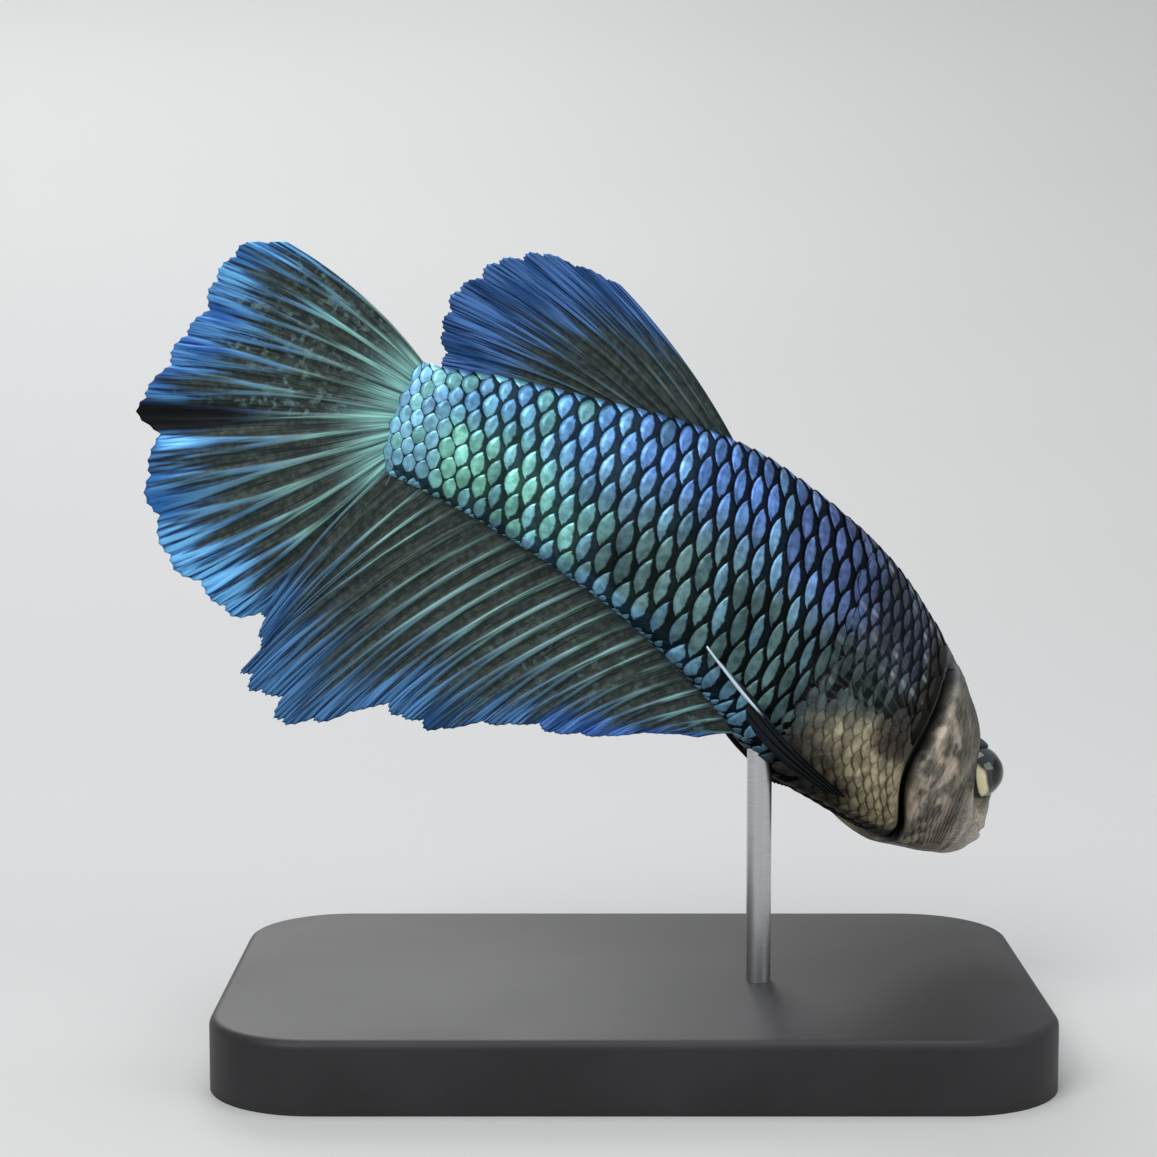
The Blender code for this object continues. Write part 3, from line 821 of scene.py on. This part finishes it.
def fin_paint(rays, blues, blue_from, minty, lines, shadow_fold=-1.0, royal=-1.0, lean=0.0):
    """A fin's colours: its deep, middle and bright blue, how far out they start, how mint
    its streaks are, how bright its lines are, where along the fan a fold painted black as
    shade runs, where its blue is the deepest, and how much further in the blue starts on its
    last ray."""
    deep, middle, bright = blues

    def paint(start):
        ray, out, ridge = start.read("ray"), start.read("out"), start.read("ridge")
        patch = along_rays(start, rays * 0.8, 1.6)
        streaks = along_rays(start, rays * 2.6, 1.6)
        fine = along_rays(start, rays * 10.0, 4.0)
        speckle = start.grain(2600.0, 3.0).step(0.35, 0.65)
        reach = out + (streaks - 0.5) * 0.60 + (fine - 0.5) * 0.45 + (patch - 0.5) * 0.30
        reach = reach + lean * ray.step(0.55, 1.0)
        margin = reach.step(blue_from, blue_from + 0.34)
        near = out.step(0.34, 0.02) * max(minty - 0.4, 0.0) * 2.0
        web = (fine.step(0.30, 0.62) * (0.35 + 0.65 * speckle)).pick(SOOT, OLIVE)
        web = (near * fine.step(0.34, 0.60) * 0.65).pick(web, FIN_TEAL)
        flecks = start.grain(2400.0, 2.0).step(0.50, 0.72) * patch.step(0.38, 0.60) * minty
        flecks = flecks * out.step(0.10, 0.26) * ray.step(0.56, 0.46)
        web = (flecks * 0.60).pick(web, FIN_TEAL)
        web = margin.pick(web, fine.step(0.34, 0.62).pick(deep, middle))
        mint = minty * patch.step(0.60, 0.40) * (1.0 - 0.6 * out)
        line = mint.pick(FIN_TEAL, FIN_MINT)
        line = (reach.step(blue_from - 0.30, blue_from) * 0.7).pick(line, middle)
        line = margin.pick(line, (fine * patch.step(0.2, 0.7)).step(0.18, 0.40)
                           .pick(middle, bright))
        crest = ridge.step(0.10, 0.85) * (0.14 + 0.86 * streaks.step(0.36, 0.58))
        crest = crest * (0.45 + 0.55 * fine.step(0.25, 0.55)) * out.step(-0.10, 0.25)
        crest = crest * (lines + (1.0 - lines) * (margin + near).step(0.0, 1.0))
        wide = margin * fine.step(0.36, 0.60) * 0.50
        colour = (crest + wide).step(0.0, 1.0).pick(web, line)
        glow = near ** 2.0 * streaks.step(0.35, 0.60)
        colour = (glow * 0.8).pick(colour, FIN_MINT)
        deepest = ((ray - royal) / 0.20) ** 2.0
        colour = (deepest.step(1.0, 0.2) * margin * ridge.step(0.0, 0.9) * 0.7).pick(
            colour, FIN_ROYAL)
        # Painted shade: the fold is painted black where the sheet turns away.
        away = ((ray - shadow_fold) / (0.010 + 0.030 * out)) ** 2.0 + (streaks - 0.5) * 1.2
        colour = (away.step(1.5, 0.2) * out.step(0.30, 0.70)).pick(colour, FIN_BLACK)
        return {"Base Color": colour, "Roughness": 0.54 - 0.12 * crest,
                "Normal": fine.bump(0.5, 0.00006), "Metallic": crest * 0.25 + margin * 0.20}
    return paint


def dorsal_root(ray):
    station = 0.645 + 0.162 * ray
    return Vector((station, 0.0, back(station) - 0.008))


def anal_root(ray):
    station = 0.440 + 0.562 * ray
    return Vector((station, 0.0, -belly(station) + 0.008))


def tail_root(ray):
    bulge = 0.012 * (1.0 - abs(2.0 * ray - 1.0))
    return Vector((0.996 + bulge, 0.0, 0.074 - 0.130 * ray))


DORSAL_RAYS, ANAL_RAYS, TAIL_RAYS = 11, 22, 14
fin_gloss = {"Specular IOR Level": 0.12}
dorsal_blue = finish("dorsal_blue", fin_gloss,
                     fin_paint(DORSAL_RAYS, DORSAL_BLUES, 0.46, 0.1, 0.5))
anal_blue = finish("anal_blue", fin_gloss,
                   fin_paint(ANAL_RAYS, ANAL_BLUES, 0.66, 0.4, 0.9, royal=0.10, lean=0.10))
tail_blue = finish("tail_blue", fin_gloss,
                   fin_paint(TAIL_RAYS, TAIL_BLUES, 0.70, 0.9, 0.8, shadow_fold=0.50, royal=0.37))

dorsal = fin("dorsal", dorsal_blue, "dorsal_fin", DORSAL_RAYS, 46, dorsal_root,
             sweep=smooth(((0, 30), (0.35, 22), (0.7, 6), (1, -12))),
             reach=smooth(((0, 0.222), (0.2, 0.262), (0.4, 0.272), (0.6, 0.256), (1, 0.178))),
             bow=lambda ray: 0.022 - 0.01 * ray,
             sway=lambda ray, out: 0.010 * out * out * math.sin(5.0 * ray))
anal = fin("anal", anal_blue, "anal_fin", ANAL_RAYS, 52, anal_root,
           sweep=smooth(((0, -40), (0.11, -50), (0.35, -54), (0.65, -54), (0.80, -54),
                         (0.90, -61), (1, -66))),
           reach=smooth(((0, 0.058), (0.12, 0.150), (0.31, 0.225), (0.44, 0.290),
                         (0.54, 0.304), (0.65, 0.376), (0.80, 0.342), (0.90, 0.292),
                         (1, 0.232))),
           bow=lambda ray: 0.03, sway=lambda ray, out: 0.016 * out * ray ** 2, lobes=0.024)
tail = fin("tail", tail_blue, "tail_fin", TAIL_RAYS, 60, tail_root,
           sweep=smooth(((0, 25), (0.5, -17), (0.85, -53), (1, -68))),
           reach=smooth(((0, 0.212), (0.12, 0.270), (0.3, 0.272), (0.43, 0.306),
                         (0.495, 0.326), (0.54, 0.312), (0.66, 0.316), (0.80, 0.304),
                         (0.92, 0.272), (1, 0.223))),
           bow=lambda ray: 0.05 * (1.0 - 2.0 * ray),
           sway=lambda ray, out: (0.010 * out * math.cos(6.5 * ray) - 0.026 * out * ray ** 2
                                  - 0.012 * out * hump(ray - 0.50, 0.035)), lobes=0.018)


# Paired fins: clear pectorals behind the gill covers, and dark pelvics under the breast,
# each with one long outer ray that is pale towards its tip.
PECTORAL_RAYS, PELVIC_RAYS = 9, 4


def pectoral_root(ray):
    return section(0.322 + 0.016 * ray, math.radians(96 + 20 * ray), 0.004)


def pelvic_root(ray):
    return Vector((0.318 + 0.022 * ray, 0.046, -0.128 - 0.010 * ray))


CLEAR_WEB, CLEAR_RAY = rgb(120, 128, 128), rgb(176, 184, 180)
PELVIC_SOOT, PELVIC_BLUE, RAY_PALE = rgb(24, 28, 28), rgb(20, 40, 70), rgb(186, 214, 228)


def clear_paint(start):
    ridge, out = start.read("ridge"), start.read("out")
    fine = along_rays(start, 40.0, 4.0)
    colour = ridge.step(0.3, 0.9).pick(CLEAR_WEB, CLEAR_RAY)
    alpha = 0.05 * ridge.step(0.55, 0.98) * (1.0 - 0.6 * out) + 0.012 * fine
    return {"Base Color": colour, "Alpha": alpha}


def pelvic_paint(start):
    ray, out, ridge = start.read("ray"), start.read("out"), start.read("ridge")
    fine = along_rays(start, 30.0, 4.0)
    leading = ray.step(0.11, 0.06) * out.step(0.55, 0.64)
    dark = fine.step(0.3, 0.7).pick(FIN_BLACK, PELVIC_SOOT)
    blue = (ridge.step(0.5, 0.95) * out.step(0.35, 0.9) * 0.3).pick(dark, PELVIC_BLUE)
    return {"Base Color": leading.pick(blue, RAY_PALE), "Roughness": 0.40 + 0.2 * fine}


pectoral_clear = finish("pectoral_clear", {"Roughness": 0.25, "IOR": 1.38}, clear_paint)
pelvic_dark = finish("pelvic_dark", fin_gloss, pelvic_paint)

for side, which, low_ray in ((1, "right", 0), (-1, "left", 5)):
    pectoral = fin("pectoral_" + which, pectoral_clear, "pectoral_fin_" + which,
                   PECTORAL_RAYS, 30, pectoral_root, sweep=smooth(((0, 32), (0.5, -4), (1, -42))),
                   reach=smooth(((0, 0.141), (0.4, 0.171), (1, 0.116))), splay=20.0, side=side,
                   thickness=0.00014, fineness=12)
    pelvic = fin("pelvic_" + which, pelvic_dark, "pelvic_fin_" + which, PELVIC_RAYS, 44,
                 pelvic_root, sweep=smooth(((0, 10), (0.15, 8.8), (1, low_ray))),
                 reach=smooth(((0, 0.272), (0.06, 0.264), (0.15, 0.180), (0.35, 0.172),
                               (0.7, 0.150), (1, 0.115))),
                 bow=lambda ray: -0.045, splay=10.0, side=side)

# ---------------------------------------------------------------------------------------
# Stand: a satin black base with a rounded rim, and a bright steel rod let into the belly.
BASE_LENGTH, BASE_WIDTH, BASE_HEIGHT = 0.046, 0.030, 0.004
BASE_CORNER, BASE_BEVEL = 0.006, 0.0005
ROD_RADIUS = 0.0007


def satin_paint(start):
    """Satin enamel, a little duller where hands have worn it."""
    speckle = start.grain(9000.0, 2.0)
    wear = start.grain(120.0, 4.0)
    colour = wear.step(0.3, 0.8).pick(rgb(28, 28, 30), rgb(38, 38, 40))
    return {"Base Color": colour, "Roughness": 0.46 + 0.14 * wear,
            "Normal": speckle.bump(0.25, 0.00002)}


def steel_paint(start):
    """Bright steel, with the fine rings of the lathe round the rod."""
    turned = start.grain(700.0, 3.0, (1.0, 1.0, 40.0))
    colour = turned.step(0.3, 0.7).pick(rgb(182, 184, 188), rgb(200, 200, 202))
    return {"Base Color": colour, "Roughness": 0.26 + 0.08 * turned,
            "Normal": turned.bump(0.15, 0.000005)}


satin_black = finish("satin_black", {"Specular IOR Level": 0.3}, satin_paint)
turned_steel = finish("turned_steel", {"Metallic": 1.0}, steel_paint)

shape = bmesh.new()
bmesh.ops.create_cube(shape, size=1.0)
bmesh.ops.scale(shape, verts=shape.verts, vec=(BASE_LENGTH, BASE_WIDTH, BASE_HEIGHT))
upright = [edge for edge in shape.edges if abs(edge.verts[0].co.z - edge.verts[1].co.z) > 0.001]
bmesh.ops.bevel(shape, geom=upright, offset=BASE_CORNER, segments=16, profile=0.5,
                affect="EDGES", material=-1)
rim = [edge for edge in shape.edges if min(vert.co.z for vert in edge.verts) > 0.001]
bmesh.ops.bevel(shape, geom=rim, offset=BASE_BEVEL, segments=4, profile=0.5,
                affect="EDGES", material=-1)
bmesh.ops.translate(shape, verts=shape.verts, vec=(0.0, 0.0, BASE_HEIGHT / 2))
plinth = laid("plinth", shape, satin_black, "stand_base")
plinth.data.set_sharp_from_angle(angle=math.radians(25))

low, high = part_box("stand_rod")
shape = bmesh.new()
bmesh.ops.create_cone(shape, cap_ends=True, segments=48, radius1=ROD_RADIUS,
                      radius2=ROD_RADIUS, depth=high.z - low.z)
bmesh.ops.translate(shape, verts=shape.verts,
                    vec=((low.x + high.x) / 2, (low.y + high.y) / 2, (low.z + high.z) / 2))
rod = laid("rod", shape, turned_steel, "stand_rod")
rod.data.set_sharp_from_angle(angle=math.radians(30))

# ---------------------------------------------------------------------------------------
# Studio: a pale floor that curves up all round, four soft lights aimed at the middle of
# the model, and the camera, a little above it.
FLOOR_RINGS = ((0.14, 0.0), (0.20, 0.001), (0.26, 0.006), (0.32, 0.017), (0.38, 0.036),
               (0.44, 0.066), (0.49, 0.105), (0.53, 0.16), (0.56, 0.24), (0.58, 0.36))
MODEL_MIDDLE = Vector((-0.003, -0.003, 0.027))
SKY_COLOUR, SKY_STRENGTH = (0.80, 0.82, 0.85, 1.0), 0.60
CAMERA_AWAY, CAMERA_RAISED = 0.1518, math.radians(6.0)


def floor_paint(start):
    cloud = start.grain(3.0, 2.0)
    return {"Base Color": cloud.step(0.2, 0.8).pick(rgb(168, 169, 170), rgb(175, 175, 174)),
            "Roughness": 0.75 + 0.1 * cloud}


pale_floor = finish("pale_floor", {}, floor_paint)
shape = bmesh.new()
bmesh.ops.create_circle(shape, cap_ends=False, segments=96, radius=0.001)
ring = list(shape.edges)
bmesh.ops.contextual_create(shape, geom=ring)
for radius, height in FLOOR_RINGS:
    grown = bmesh.ops.extrude_edge_only(shape, edges=ring)["geom"]
    ring = [item for item in grown if isinstance(item, bmesh.types.BMEdge)]
    for vert in {vert for edge in ring for vert in edge.verts}:
        flat = Vector((vert.co.x, vert.co.y, 0.0)).normalized()
        vert.co = (flat.x * radius, flat.y * radius, height)
bmesh.ops.recalc_face_normals(shape, faces=shape.faces)
mesh = bpy.data.meshes.new("floor")
shape.to_mesh(mesh)
shape.free()
mesh.shade_smooth()
mesh.materials.append(pale_floor)
floor = bpy.data.objects.new("floor", mesh)
bpy.context.collection.objects.link(floor)



def aim(thing):
    """Turn a light or camera to face the middle of the model, and put it in the scene."""
    towards = MODEL_MIDDLE - thing.location
    thing.rotation_euler = towards.to_track_quat("-Z", "Y").to_euler()
    bpy.context.collection.objects.link(thing)


for name, place, size, power in (
        ("key_light", (-0.22, -0.34, 0.42), 0.26, 2.0),
        ("fill_light", (0.38, -0.26, 0.20), 0.30, 0.8),
        ("top_light", (0.02, 0.02, 0.50), 0.34, 1.3),
        ("rim_light", (-0.10, 0.42, 0.30), 0.24, 1.0)):
    light = bpy.data.lights.new(name, "AREA")
    light.size = size
    light.energy = power
    lamp = bpy.data.objects.new(name, light)
    lamp.location = place
    aim(lamp)

world = bpy.data.worlds.new("studio")
world.use_nodes = True
world.node_tree.nodes["Background"].inputs["Color"].default_value = SKY_COLOUR
world.node_tree.nodes["Background"].inputs["Strength"].default_value = SKY_STRENGTH
bpy.context.scene.world = world
bpy.context.scene.view_settings.view_transform = "Standard"

camera = bpy.data.objects.new("camera", bpy.data.cameras.new("camera"))
camera.data.lens = 85.0
camera.data.sensor_width = 36.0
camera.data.clip_start = 0.01
backwards = Vector((0.0, -math.cos(CAMERA_RAISED), math.sin(CAMERA_RAISED)))
camera.location = MODEL_MIDDLE + backwards * CAMERA_AWAY
aim(camera)
bpy.context.scene.camera = camera
